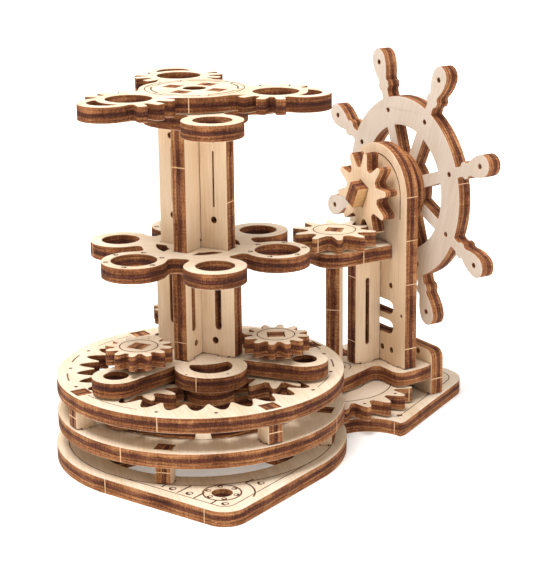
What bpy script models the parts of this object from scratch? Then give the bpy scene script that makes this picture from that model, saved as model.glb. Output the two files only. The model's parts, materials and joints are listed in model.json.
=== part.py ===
"""Rotating pen carousel with a ship's wheel crank, cut from plywood sheet.

Every piece is a flat outline cut from one sheet thickness, as laser-cut kits are.
Lengths are in millimetres and angles in degrees until an object is made; the
scene itself is in metres, +Z up. The origin is on the carousel's axis at the
underside of the base plate, and the base plate's pointed corner looks along -Y.
"""

from math import atan2, cos, degrees, hypot, pi, radians, sin, sqrt

import bpy

MM = 0.001
SHEET = 4.0  # plywood thickness
GAP = 0.25  # clearance left wherever two pieces meet

# Heights of the undersides of the horizontal plates
BASE_Z = 0.0
GEAR_TRAIN_Z = 4.6
MIDDLE_Z = 9.2
LOWER_CARRIER_Z = 13.8
RING_Z = 18.4
UPPER_CARRIER_Z = 23.2
COLLAR_Z = 27.6
UPPER_GEAR_Z = 29.2
ROSETTE_Z = 51.8
LOWER_TOP_Z = 87.9
TOP_Z = 92.2
TOP_SURFACE = TOP_Z + SHEET

# Carousel
CAROUSEL_HEADING = 274.7  # direction of the front holder ring at rest
HOLDER_CIRCLE = 21.2  # radius on which every pen hole is centred
BIG_HOLE = 5.8
SMALL_HOLE = 4.9
LOWER_TOP_HOLE = 4.8
HOLDER_TURNS = (0, 120, 240)  # headings of the front lobes, relative to the carousel's
PLANET_TURNS = (60, 180, 300)
BLADE_HEADINGS = (48.0, -42.0)
BLADE_UPPER = (9.9, 8.7)  # half widths above the rosette, one blade each
BLADE_LOWER = (11.5, 9.8)
TENON_MIDDLE = 6.4  # of the tenons on top of the blades
TENON_HALF = 1.8
FOOT_MIDDLE = 8.0
FOOT_HALF = 1.4
AXLE_HALF = 3.0
LOWER_CARRIER_ARM = (25.6, 5.2)  # distance of an arm's round end and its radius
SPACER_LOBE = (12.6, 6.2)
CARRIER_LOBE = (13.3, 9.3)
CARRIER_ARM = (28.2, 6.1)
CARRIER_ARM_HOLE = 3.2
ROSETTE_LOBES = (7.9, 8.3)  # round the small and the big pen holes
ROSETTE_DISC = 14.4
LOWER_TOP_LOBE = 7.7
LOWER_TOP_DISC = 13.4
TOP_DISC = 14.1
TOP_RING = 8.2  # outside of the ring round a pen hole
TOP_LOOP = (28.4, 6.8, 4.5)  # centre of an arm's outer loop, and its radii outside and inside
TOP_TEETH = (-122, -93, -68)  # headings of an arm's teeth about its pen hole
TOP_BORE = 2.95
LOWER_TOP_BORE = 3.0

# Gears
PLANET_MODULE = 2.06
DRIVE_MODULE = 2.0227
RING_TEETH = 30
PLANET_TEETH = 10
HUB_TEETH = 24
DRIVE_TEETH = 20
CROWN_TEETH = 10
UPPER_GEAR_TEETH = 12
UPPER_GEAR_OFFSET = 8.0
COLLAR_THICKNESS = 1.3
COLLAR_R = 4.4
PLANET_ROD_TURN = 20.0  # of the square rod, from the line through the carousel's axis
PLANET_CIRCLE = PLANET_MODULE * (RING_TEETH - PLANET_TEETH) / 2
SHAFT_DISTANCE = DRIVE_MODULE * (HUB_TEETH + DRIVE_TEETH) / 2
RING_NOTCH_HEADING = 273.1
DRIVE_TOOTH_HEADING = -21.7
CROWN_TOOTH_OFFSET = 9.0  # from the line towards the tower
SHAFT_TURN = -47.0  # of the square drive shaft, from the same line

# Tooth flanks as (radius, half width)
HUB_TOOTH = [(22.2, 2.1), (24.5, 1.4), (26.2, 0.6)]
DRIVE_TOOTH = [(17.6, 2.2), (19.0, 1.75), (20.8, 1.15), (21.8, 0.5)]
RING_NOTCH = [(27.9, 2.55), (29.1, 2.15), (30.6, 1.6), (31.7, 0.95), (32.3, 0.25)]
PLANET_TOOTH = [(6.7, 1.65), (8.2, 1.35), (9.5, 1.05), (10.5, 0.7), (11.0, 0.35)]
UPPER_GEAR_TOOTH = [(6.2, 1.2), (7.3, 1.05), (8.2, 0.8), (8.6, 0.3)]
RIGHT_ANGLE_TOOTH = [(7.3, 1.7), (8.4, 1.3), (9.6, 1.1), (10.8, 0.9), (11.5, 0.45)]

# Base
DISC_R = 38.3
BASE_WINDOW = (14.5, 29.6)  # inner and outer radius of the openings in the base
MIDDLE_R = 37.7
RING_R = 37.6
CORNER_HEADING = 270.0
CORNER_ROUND = 6.0
CORNER_HOLE = (40.2, 2.6)  # distance from the axis and radius
WINDOW_HEADINGS = (22, 142, 262)  # middles of the openings in the base
WINDOW_SPREAD = 54
LOBE_NECK = ((36.8, 24.8), 11.4)  # centre and radius of the hollow beside the tower's lobe
LOBE_SHOULDER = (49.9, 22.9)
LOBE_NOSE = (75.8, 10.4)
LOBE_SLOPE = 28.7
LOBE_HOLE = (51.4, 21.2, 0.8)  # out, sideways from the lobe's middle, radius
BRIDGE_HEADING = 264.1  # one of the six bridges between the middle plate's windows
BRIDGE_SPREAD = 4.4
MIDDLE_WINDOW = (20.4, 27.8)
MIDDLE_BORE = 6.4
UPPER_SPACER_HEADINGS = (22.5, 112.5, 202.5, 292.5)
LOWER_SPACER_HEADINGS = (67.5, 157.5, 247.5, 337.5)
UPPER_SPACER_R = 34.5
LOWER_SPACER_R = 33.4
TENON_FOOT = (1.0, 3.0)  # half width and length of a spacer's lower tenon
UPPER_TENON_HALF = 1.8
LOWER_TENON_HALF = 1.7

# Tower: "out" is measured away from the carousel, "side" to its right
TOWER_HEADING = 23.0
TOWER_SIDE = -3.0
SHAFT_OUT = sqrt(SHAFT_DISTANCE**2 - TOWER_SIDE**2)
PINION_OUT = 53.2
ARCH_OUT = 58.7
HUB_DISC_OUT = 62.95
WHEEL_OUT = 67.2
FOOT_OUT = 68.2
WHEEL_Z = 61.6
SHELF_Z = 43.9
CROWN_Z = 48.7
ARCH_HALF = 13.4
ARCH_TENON = 8.0  # middle of its tenons, from the tower's own middle
FOOT_TENON = 9.0
SHEET_TENON_HALF = 4.0  # of the wide tenons on the deck and the shelf
WEB_INNER = 50.2
WEB_TENON = 54.2
WEB_HEAD_TENON = 55.2
FOOT_TOP = 17.0
FOOT_ROUND = 2.6
WHEEL_BORE = 4.0
SHELF_END = 37.0
SHELF_HALF = 7.4
SHELF_ROUND = 5.0
WHEEL_HEADING = 19.2  # first handle, up from the tower's right

# Ship's wheel
RIM_OUTER = 25.2
RIM_INNER = 17.3
WHEEL_HUB = 8.6
SPOKE_HALF = 1.7
HANDLES = 8
HUB_DISC_R = 10.6
WHEEL_PINS = (21.8, 35.3)  # distances of the pin holes along each spoke
WHEEL_PIN_R = 0.75
STRIP_HALF = (3.0, 2.0)  # of the flat bar that the wheel turns on
STRIP_ENDS = (3.2, 2.4)  # how far it stands out behind the pinion and before the wheel

SQUARE_ROD_HALF = 2.0
ROD_BORE = 3.05  # round hole that a square rod turns in
BIG_ROUND = 72
HOLE_ROUND = 28
SMALL_ROUND = 8


# ---------------------------------------------------------------- geometry


def polar(radius, heading, centre=(0.0, 0.0)):
    angle = radians(heading)
    return (centre[0] + radius * cos(angle), centre[1] + radius * sin(angle))


def arc(centre, radius, start, end, steps):
    """Points on an arc; the heading runs from start to end."""
    return [polar(radius, start + (end - start) * i / steps, centre) for i in range(steps + 1)]


def circle(centre, radius, steps=HOLE_ROUND):
    return arc(centre, radius, 0, 360 * (steps - 1) / steps, steps - 1)


def rectangle(centre, half_along, half_across, heading=0.0):
    """A rectangle whose long direction follows the heading."""
    corners = ((-1, -1), (1, -1), (1, 1), (-1, 1))
    return [turned((x * half_along, y * half_across), heading, centre) for x, y in corners]


def turned(point, heading, centre=(0.0, 0.0)):
    c, s = cos(radians(heading)), sin(radians(heading))
    return (centre[0] + point[0] * c - point[1] * s, centre[1] + point[0] * s + point[1] * c)


def turn_all(points, heading, centre=(0.0, 0.0)):
    return [turned(point, heading, centre) for point in points]


def heading_of(centre, point):
    return degrees(atan2(point[1] - centre[1], point[0] - centre[0]))


def slot(centre, half_length, half_width, heading=0.0, steps=4):
    """A slot with round ends."""
    straight = half_length - half_width
    right = arc((straight, 0), half_width, -90, 90, steps)
    left = arc((-straight, 0), half_width, 90, 270, steps)
    return turn_all(right + left, heading, centre)


def ring_window(inner, outer, start, end, steps):
    """An arc-shaped window between two radii."""
    return arc((0, 0), outer, start, end, steps) + arc((0, 0), inner, end, start, steps)


def fillet_centre(first, second, fillet):
    """Centre of the circle that touches two others from outside, on their right-hand side."""
    (c1, r1), (c2, r2) = first, second
    dx, dy = c2[0] - c1[0], c2[1] - c1[1]
    span = hypot(dx, dy)
    reach1, reach2 = r1 + fillet, r2 + fillet
    along = (span**2 + reach1**2 - reach2**2) / (2 * span)
    away = sqrt(reach1**2 - along**2)
    ux, uy = dx / span, dy / span
    return (c1[0] + along * ux + away * uy, c1[1] + along * uy - away * ux)


def blended(circles, fillet, step_angle=15.0):
    """Anticlockwise outline round a closed chain of (centre, radius), joined by concave fillets."""
    count = len(circles)
    fillets = [fillet_centre(circles[i], circles[(i + 1) % count], fillet) for i in range(count)]
    points = []
    for i, (centre, radius) in enumerate(circles):
        before, after = fillets[i - 1], fillets[i]
        start = heading_of(centre, before)
        end = start + (heading_of(centre, after) - start) % 360
        steps = max(2, round((end - start) / step_angle))
        points += arc(centre, radius, start, end, steps)
        start = heading_of(after, centre)
        end = start - (start - heading_of(after, circles[(i + 1) % count][0])) % 360
        steps = max(2, round((start - end) / (1.6 * step_angle)))
        points += arc(after, fillet, start, end, steps)[1:-1]
    return points


def toothed(teeth, profile, phase=0.0):
    """Outline of a gear; profile lists (radius, half width) up one flank of a tooth."""
    points = []
    for i in range(teeth):
        centre = phase + 360 * i / teeth
        flank = [(radius, degrees(atan2(half, radius))) for radius, half in profile]
        points += [polar(radius, centre - spread) for radius, spread in flank]
        points += [polar(radius, centre + spread) for radius, spread in reversed(flank)]
    return points


def meshed_phase(line, teeth, tooth, other_teeth):
    """Heading of a tooth on a gear that meshes with another.

    The line is the heading from the other gear to this one, and tooth is the
    heading of one of the other gear's teeth.
    """
    offset = (tooth - line) * other_teeth / teeth
    return line + 180 - offset + 180 / teeth


# ------------------------------------------------------------ object making


def new_collection(name):
    collection = bpy.data.collections.new(name)
    bpy.context.scene.collection.children.link(collection)
    return collection


def plywood(name, colour, roughness):
    material = bpy.data.materials.new(name)
    material.use_nodes = True
    shader = material.node_tree.nodes["Principled BSDF"]
    shader.inputs["Base Color"].default_value = (*colour, 1.0)
    shader.inputs["Roughness"].default_value = roughness
    shader.inputs["Metallic"].default_value = 0.0
    return material


def pivot(name, parent=None, location=(0.0, 0.0, 0.0), rotation=(0.0, 0.0, 0.0)):
    empty = bpy.data.objects.new(name, None)
    PARTS.objects.link(empty)
    empty.empty_display_size = 10 * MM
    empty.parent = parent
    empty.location = [value * MM for value in location]
    empty.rotation_euler = [radians(value) for value in rotation]
    return empty


def cut_sheet(name, outline, holes, material, thickness=SHEET):
    """A flat piece: the outline and its holes, extruded either side of its own plane."""
    curve = bpy.data.curves.new(name, "CURVE")
    curve.dimensions = "2D"
    curve.fill_mode = "BOTH"
    curve.extrude = thickness * MM / 2
    for loop in [outline, *holes]:
        spline = curve.splines.new("POLY")
        spline.points.add(len(loop) - 1)
        for point, (x, y) in zip(spline.points, loop):
            point.co = (x * MM, y * MM, 0.0, 1.0)
        spline.use_cyclic_u = True
    curve.materials.append(material)
    piece = bpy.data.objects.new(name, curve)
    PARTS.objects.link(piece)
    return piece


def level(name, z, outline, holes, material, parent=None, thickness=SHEET):
    """A horizontal plate whose underside is at z, measured from its parent."""
    piece = cut_sheet(name, outline, holes, material, thickness)
    piece.parent = parent
    piece.location = (0.0, 0.0, (z + thickness / 2) * MM)
    return piece


def upright(name, heading, shift, outline, holes, material, parent=None, thickness=SHEET):
    """A vertical plate: its x axis follows the heading and its y axis is up.

    The shift moves the plate's middle plane to the right of that heading.
    """
    piece = cut_sheet(name, outline, holes, material, thickness)
    piece.parent = parent
    piece.rotation_euler = (pi / 2, 0.0, radians(heading))
    normal = (sin(radians(heading)), -cos(radians(heading)))
    piece.location = (normal[0] * shift * MM, normal[1] * shift * MM, 0.0)
    return piece


# ------------------------------------------------------------- base and deck


def in_tower(out, side):
    """World x and y of a place given in the tower's own directions."""
    along = polar(out, TOWER_HEADING)
    across = polar(side, TOWER_HEADING - 90)
    return (along[0] + across[0], along[1] + across[1])


def both_sides(right_side):
    """World outline of a tower edge given on its right, followed by its mirror image."""
    left_side = [(out, 2 * TOWER_SIDE - side) for out, side in reversed(right_side)]
    return [in_tower(out, side) for out, side in right_side + left_side]


def tenon_hole(heading, radius, half_along):
    """Slot for a spacer's tenon; the spacer stands along the radius."""
    return rectangle(polar(radius, heading), half_along + GAP, SHEET / 2 + GAP, heading)


def base_outline():
    neck = arc(*LOBE_NECK, -95, -8, 10)
    nose = arc((LOBE_NOSE[0], TOWER_SIDE), LOBE_NOSE[1], 90 - LOBE_SLOPE, 0, 8)
    lobe = both_sides(neck + [LOBE_SHOULDER] + nose[:-1])
    start = heading_of((0, 0), lobe[-1])
    corner_reach = (DISC_R - CORNER_ROUND) * sqrt(2)
    corner = arc(polar(corner_reach, CORNER_HEADING), CORNER_ROUND, 225, 315, 8)
    left = arc((0, 0), DISC_R, start, CORNER_HEADING - 45, 50)
    right = arc((0, 0), DISC_R, CORNER_HEADING + 45, 360 + heading_of((0, 0), lobe[0]), 14)
    return left[1:-1] + corner + right[1:-1] + lobe


def make_base():
    spread = WINDOW_SPREAD
    holes = [ring_window(*BASE_WINDOW, middle - spread, middle + spread, 16) for middle in WINDOW_HEADINGS]
    holes.append(circle(polar(CORNER_HOLE[0], CORNER_HEADING), CORNER_HOLE[1], 16))
    out, away, radius = LOBE_HOLE
    holes += [circle(in_tower(out, TOWER_SIDE + side), radius, SMALL_ROUND) for side in (away, -away)]
    holes += [tenon_hole(heading, LOWER_SPACER_R, TENON_FOOT[0]) for heading in LOWER_SPACER_HEADINGS]
    holes += [tower_slot(FOOT_OUT, side, 2.5) for side in (-FOOT_TENON, FOOT_TENON)]
    level("base_plate", BASE_Z, base_outline(), holes, PALE)


def tower_slot(out, side, half_across):
    """Slot for a tenon of a board that stands square to the tower's heading."""
    centre = in_tower(out + SHEET / 2, TOWER_SIDE + side)
    return rectangle(centre, SHEET / 2 + GAP, half_across + GAP, TOWER_HEADING)


def spacer_outline(half_width, height, foot_half, foot, top_half, top):
    """A block with a tenon below and a tenon above, seen from its broad side."""
    return [
        (-foot_half, -foot),
        (foot_half, -foot),
        (foot_half, 0),
        (half_width, 0),
        (half_width, height),
        (top_half, height),
        (top_half, height + top),
        (-top_half, height + top),
        (-top_half, height),
        (-half_width, height),
        (-half_width, 0),
        (-foot_half, 0),
    ]


def stand_spacer(name, heading, radius, z, outline, material):
    """A spacer whose broad side follows the radius."""
    piece = upright(name, heading, 0.0, outline, [], material)
    x, y = polar(radius, heading)
    piece.location = (x * MM, y * MM, z * MM)
    return piece


def make_lower_spacers():
    height = MIDDLE_Z - SHEET - 2 * GAP
    outline = spacer_outline(2.0, height, *TENON_FOOT, LOWER_TENON_HALF, SHEET)
    for i, heading in enumerate(LOWER_SPACER_HEADINGS):
        stand_spacer(f"lower_spacer_{i + 1}", heading, LOWER_SPACER_R, SHEET + GAP, outline, EDGE)


def make_upper_spacers():
    height = RING_Z - MIDDLE_Z - SHEET - 2 * GAP
    outline = spacer_outline(2.7, height, *TENON_FOOT, UPPER_TENON_HALF, SHEET)
    for i, heading in enumerate(UPPER_SPACER_HEADINGS):
        name = f"upper_spacer_{i + 1}"
        stand_spacer(name, heading, UPPER_SPACER_R, MIDDLE_Z + SHEET + GAP, outline, PALE)


def middle_outline():
    neck = [(36.4, 9.7), (38.4, 8.2), (42.0, 6.4), (46.2, 5.1), (50.5, 3.6), (53.3, 2.5)]
    inner = arc((53.9, 4.1), 1.6, -80, 0, 3)
    corner = arc((58.1, 9.2), 2.6, 180, 95, 4)
    shoulder = [(64.0, 11.5), (66.4, 11.0), (FOOT_OUT - GAP, 10.2)]
    edge = TOWER_SIDE + SHEET_TENON_HALF
    tenon = [(FOOT_OUT - GAP, edge), (FOOT_OUT + SHEET, edge)]
    deck = both_sides(neck + inner + corner + shoulder + tenon)
    start = heading_of((0, 0), deck[-1])
    end = 360 + heading_of((0, 0), deck[0])
    return deck + arc((0, 0), MIDDLE_R, start, end, BIG_ROUND - 12)[1:-1]


def make_middle():
    holes = []
    for bridge in range(6):
        start = BRIDGE_HEADING + 60 * bridge
        holes.append(ring_window(*MIDDLE_WINDOW, start + BRIDGE_SPREAD, start + 60 - BRIDGE_SPREAD, 7))
    holes += [circle((0, 0), MIDDLE_BORE, 24), circle(in_tower(SHAFT_OUT, TOWER_SIDE), ROD_BORE, 20)]
    holes += [tenon_hole(heading, LOWER_SPACER_R, LOWER_TENON_HALF) for heading in LOWER_SPACER_HEADINGS]
    holes += [tenon_hole(heading, UPPER_SPACER_R, TENON_FOOT[0]) for heading in UPPER_SPACER_HEADINGS]
    holes += [tower_slot(ARCH_OUT, side, 2.0) for side in (-ARCH_TENON, ARCH_TENON)]
    holes.append(tower_slot(WEB_TENON - SHEET / 2, 0.0, 2.0))
    level("middle_plate", MIDDLE_Z, middle_outline(), holes, PALE)


def make_ring():
    inside = toothed(RING_TEETH, RING_NOTCH, RING_NOTCH_HEADING)
    holes = [tenon_hole(heading, UPPER_SPACER_R, UPPER_TENON_HALF) for heading in UPPER_SPACER_HEADINGS]
    holes.append(inside)
    level("ring_gear_plate", RING_Z, circle((0, 0), RING_R, BIG_ROUND), holes, PALE)


# ------------------------------------------------------------------- tower


def two_feet(middle, half, shoulder, tip):
    """The lower edge of a board from left to right, with a tenon on each side."""
    outer, inner = -middle - half, -middle + half
    left = [(outer, shoulder), (outer, tip), (inner, tip), (inner, shoulder)]
    return left + [(-x, z) for x, z in reversed(left)]


def make_arch():
    low = MIDDLE_Z + SHEET + GAP
    feet = two_feet(ARCH_TENON, 2.0, low, MIDDLE_Z + GAP)
    outline = [(-ARCH_HALF, low), *feet, (ARCH_HALF, low)] + arc((0, WHEEL_Z), ARCH_HALF, 0, 180, 32)
    holes = [circle((0, WHEEL_Z), WHEEL_BORE, 24)]
    holes += [slot((0, z), 7.9, 1.9) for z in (29.55, 23.85)]
    holes += [rectangle((0, SHELF_Z + SHEET / 2), SHEET_TENON_HALF + GAP, SHEET / 2 + GAP)]
    for x, z, radius in ((2.9, 17.4, 0.8), (7.2, 17.4, 0.8), (11.6, 28.4, 0.5), (6.6, 36.0, 0.8)):
        holes += [circle((side * x, z), radius, SMALL_ROUND) for side in (-1, 1)]
    shifted = [[(x + TOWER_SIDE, z) for x, z in loop] for loop in [outline, *holes]]
    shift = -(ARCH_OUT + SHEET / 2)
    upright("arch_plate", TOWER_HEADING - 90, shift, shifted[0], shifted[1:], PALE)


def make_web():
    low, high = MIDDLE_Z + SHEET + GAP, SHELF_Z - GAP
    right, sole, top = ARCH_OUT - GAP, MIDDLE_Z + GAP, SHELF_Z + SHEET
    foot, head = (WEB_TENON - 2.0, WEB_TENON + 2.0), (WEB_HEAD_TENON - 1.0, WEB_HEAD_TENON + 1.0)
    outline = [(WEB_INNER, low), (foot[0], low), (foot[0], sole), (foot[1], sole), (foot[1], low)]
    outline += [(right, low), (right, high)]
    outline += [(head[1], high), (head[1], top), (head[0], top), (head[0], high), (WEB_INNER, high)]
    holes = [slot((WEB_TENON, 28.2), 9.6, 0.6, 90)]
    upright("web_plate", TOWER_HEADING, TOWER_SIDE, outline, holes, PALE)


def make_shelf():
    right, tenon = ARCH_OUT - GAP, SHEET_TENON_HALF
    front = arc((SHELF_END + SHELF_ROUND, SHELF_HALF - SHELF_ROUND), SHELF_ROUND, 180, 90, 8)
    side = front + [(right, SHELF_HALF), (right, tenon), (ARCH_OUT + SHEET, tenon)]
    outline = [(out, TOWER_SIDE + across) for out, across in side]
    bore = circle(in_tower(SHAFT_OUT, TOWER_SIDE), ROD_BORE, 20)
    tab = rectangle(in_tower(WEB_HEAD_TENON, TOWER_SIDE), 1.0 + GAP, SHEET / 2 + GAP, TOWER_HEADING)
    level("shelf_plate", SHELF_Z, both_sides(outline), [bore, tab], PALE)


def make_foot():
    low, half = SHEET + GAP, ARCH_HALF
    feet = two_feet(FOOT_TENON, 2.5, low, GAP)
    corner = (half - FOOT_ROUND, FOOT_TOP - FOOT_ROUND)
    top = arc(corner, FOOT_ROUND, 0, 90, 5) + arc((-corner[0], corner[1]), FOOT_ROUND, 90, 180, 5)
    outline = [(-half, low), *feet, (half, low), *top]
    holes = [rectangle((0, MIDDLE_Z + SHEET / 2), SHEET_TENON_HALF + GAP, SHEET / 2 + GAP)]
    holes += [circle((side * 7.0, 15.4), 0.8, SMALL_ROUND) for side in (-1, 1)]
    shifted = [[(x + TOWER_SIDE, z) for x, z in loop] for loop in [outline, *holes]]
    shift = -(FOOT_OUT + SHEET / 2)
    upright("foot_plate", TOWER_HEADING - 90, shift, shifted[0], shifted[1:], PALE)


# ---------------------------------------------------------------- carousel


def blade_holes(middle, half_along):
    """One rectangular hole for each arm of the column."""
    headings = [heading + turn for heading in BLADE_HEADINGS for turn in (0, 180)]
    return [rectangle(polar(middle, h), half_along + GAP, SHEET / 2 + GAP, h) for h in headings]


def cross_slot():
    """A plus-shaped slot that fits the upper part of both blades."""
    wide = SHEET / 2 + GAP
    points = []
    for i, reach in enumerate((BLADE_UPPER[1], BLADE_UPPER[0]) * 2):
        arm = [(reach + GAP, -wide), (reach + GAP, wide), (wide, wide)]
        points += turn_all(arm, BLADE_HEADINGS[1] + 90 * i)
    return points


def lobe_chain(lobes):
    """Circles on the carousel from (heading, distance, radius)."""
    return [(polar(distance, heading), radius) for heading, distance, radius in lobes]


def make_carousel_drive(carousel):
    hub_low = GEAR_TRAIN_Z - GAP
    square = rectangle((0, 0), AXLE_HALF, AXLE_HALF)
    bore = rectangle((0, 0), AXLE_HALF + GAP, AXLE_HALF + GAP)
    length = UPPER_CARRIER_Z + SHEET - hub_low
    level("carousel_axle", hub_low, square, [], EDGE, carousel, length)
    line = heading_of((0, 0), in_tower(SHAFT_OUT, TOWER_SIDE))
    phase = meshed_phase(line + 180, HUB_TEETH, DRIVE_TOOTH_HEADING, DRIVE_TEETH) - CAROUSEL_HEADING
    outline = toothed(HUB_TEETH, HUB_TOOTH, phase)
    level("hub_gear", GEAR_TRAIN_Z, outline, [bore], DARK, carousel)
    chain = []
    for turn in PLANET_TURNS:
        chain += [(turn, *LOWER_CARRIER_ARM), (turn + 60, 6.0, 8.5)]
    outline = blended(lobe_chain(chain), 9.0)
    holes = [bore] + [circle(polar(PLANET_CIRCLE, turn), ROD_BORE, 16) for turn in PLANET_TURNS]
    level("lower_carrier", LOWER_CARRIER_Z, outline, holes, PALE, carousel)
    chain = []
    for turn in HOLDER_TURNS:
        chain += [(turn, *SPACER_LOBE), (turn + 60, 0.0, 8.6)]
    outline = blended(lobe_chain(chain), 3.0)
    level("carrier_spacer", RING_Z, outline, [bore], DARK, carousel)


def moon(heading):
    """Bean-shaped window in a lobe of the upper carrier."""
    outer = arc((13.4, 0), 5.5, -117, 117, 12)
    inner = arc((0, 0), 11.8, 23, -23, 6)
    return turn_all(outer + inner, heading)


def make_upper_carrier(carousel):
    outline = []
    lobe, lobe_radius = CARRIER_LOBE
    arm, arm_radius = CARRIER_ARM
    for turn in HOLDER_TURNS:
        outline += arc(polar(lobe, turn), lobe_radius, turn - 106.5, turn + 106.5, 18)
        outline += arc(polar(arm, turn + 60), arm_radius, turn - 35, turn + 155, 14)
    holes = [rectangle((0, 0), AXLE_HALF + GAP, AXLE_HALF + GAP)]
    holes += [moon(turn) for turn in HOLDER_TURNS]
    holes += [circle(polar(arm, turn), CARRIER_ARM_HOLE, 20) for turn in PLANET_TURNS]
    holes += [circle(polar(PLANET_CIRCLE, turn), ROD_BORE, 16) for turn in PLANET_TURNS]
    holes += blade_holes(FOOT_MIDDLE, FOOT_HALF)
    level("upper_carrier", UPPER_CARRIER_Z, outline, holes, PALE, carousel)


def blade_outline(upper, lower, notch_from_top):
    """One blade of the column, with tenons above and below and a halving slot."""
    foot = UPPER_CARRIER_Z + SHEET + GAP
    sole = UPPER_CARRIER_Z + GAP
    shoulder = ROSETTE_Z - GAP
    head = LOWER_TOP_Z - GAP
    middle = (foot + head) / 2
    slot_half = SHEET / 2 + GAP
    toe = (FOOT_MIDDLE - FOOT_HALF, FOOT_MIDDLE + FOOT_HALF)
    tenon = (TENON_MIDDLE - TENON_HALF, TENON_MIDDLE + TENON_HALF)
    right = [(toe[0], foot), (toe[0], sole), (toe[1], sole), (toe[1], foot)]
    right += [(lower, foot), (lower, shoulder), (upper, shoulder), (upper, head)]
    right += [(tenon[1], head), (tenon[1], TOP_SURFACE), (tenon[0], TOP_SURFACE), (tenon[0], head)]
    if notch_from_top:
        right = right + [(slot_half, head), (slot_half, middle - GAP)]
    else:
        right = [(slot_half, middle + GAP), (slot_half, foot)] + right
    return right + [(-x, z) for x, z in reversed(right)]


def mirrored_slots(x, z, half_length, half_width):
    return [slot((side * x, z), half_length, half_width, 90) for side in (1, -1)]


def mirrored_dots(x, z, radius):
    return [circle((side * x, z), radius, SMALL_ROUND) for side in (1, -1)]


def make_column(carousel):
    long_holes = mirrored_slots(6.75, 42.3, 8.0, 0.9) + mirrored_dots(5.8, 31.3, 0.9)
    long_holes += mirrored_slots(6.05, 73.85, 7.2, 0.22)
    long_holes += mirrored_dots(6.0, 63.3, 0.85) + mirrored_dots(6.2, 84.0, 0.85)
    outline = blade_outline(BLADE_UPPER[0], BLADE_LOWER[0], True)
    upright("column_blade_a", BLADE_HEADINGS[0], 0.0, outline, long_holes, PALE, carousel)
    short_holes = mirrored_slots(6.2, 42.3, 7.8, 0.85) + mirrored_dots(5.2, 31.0, 0.8)
    outline = blade_outline(BLADE_UPPER[1], BLADE_LOWER[1], False)
    upright("column_blade_b", BLADE_HEADINGS[1], 0.0, outline, short_holes, PALE, carousel)


def rosette_window(heading):
    """A curved window between two arms of the column."""
    return turn_all(arc((0, 0), 10.7, -22, 22, 6) + arc((0, 0), 8.1, 13, -13, 3), heading)


def make_rosette(carousel):
    lobes = []
    for turn in HOLDER_TURNS:
        lobes += [(turn, HOLDER_CIRCLE, ROSETTE_LOBES[0]), (turn + 30, 0.0, ROSETTE_DISC)]
        lobes += [(turn + 60, HOLDER_CIRCLE, ROSETTE_LOBES[1]), (turn + 90, 0.0, ROSETTE_DISC)]
    outline = blended(lobe_chain(lobes), 1.6, 13.0)
    holes = [cross_slot()] + [rosette_window(3.0 + 90 * i) for i in range(4)]
    for turn in HOLDER_TURNS:
        holes.append(circle(polar(HOLDER_CIRCLE, turn), SMALL_HOLE))
        holes.append(circle(polar(HOLDER_CIRCLE, turn + 60), BIG_HOLE))
    level("middle_rosette", ROSETTE_Z, outline, holes, PALE, carousel)


def make_lower_top(carousel):
    chain = []
    for turn in HOLDER_TURNS:
        chain += [(turn, HOLDER_CIRCLE, LOWER_TOP_LOBE), (turn + 60, 0.0, LOWER_TOP_DISC)]
    outline = blended(lobe_chain(chain), 2.0, 13.0)
    holes = [circle(polar(HOLDER_CIRCLE, turn), LOWER_TOP_HOLE) for turn in HOLDER_TURNS]
    holes += [circle((0, 0), LOWER_TOP_BORE, 16)] + blade_holes(TENON_MIDDLE, TENON_HALF)
    level("lower_top_plate", LOWER_TOP_Z, outline, holes, PALE, carousel)


def top_arm():
    """Right-hand half of a toothed arm, in its own directions: x outwards, y to the side."""
    ring = (HOLDER_CIRCLE, 0.0)
    points = [polar(TOP_DISC, -33)]
    for tooth in TOP_TEETH:
        points += [polar(TOP_RING, tooth - 9, ring), polar(11.5, tooth - 6, ring)]
        points += [polar(11.7, tooth, ring), polar(11.5, tooth + 6, ring), polar(TOP_RING, tooth + 9, ring)]
    return points + arc((TOP_LOOP[0], 0.0), TOP_LOOP[1], -108, 0, 12)[:-1]


def top_crescent():
    """Crescent window between a pen hole's ring and the outer loop."""
    outer = arc((TOP_LOOP[0], 0.0), TOP_LOOP[2], -90, 90, 10)
    inner = arc((HOLDER_CIRCLE, 0.0), 8.0, 31, -31, 5)
    return outer + inner


def make_top(carousel):
    outline = []
    holes = [circle((0, 0), TOP_BORE, 16)] + blade_holes(TENON_MIDDLE, TENON_HALF)
    for turn in PLANET_TURNS:
        half = top_arm()
        arm = half + [(TOP_LOOP[0] + TOP_LOOP[1], 0.0)] + [(x, -y) for x, y in reversed(half)]
        outline += turn_all(arm, turn)
        outline += arc((0, 0), TOP_DISC, turn + 37, turn + 83, 6)
        holes += [circle(polar(HOLDER_CIRCLE, turn), BIG_HOLE - 0.05), turn_all(top_crescent(), turn)]
    level("top_plate", TOP_Z, outline, holes, PALE, carousel)


# ----------------------------------------------------------------- planets


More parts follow.
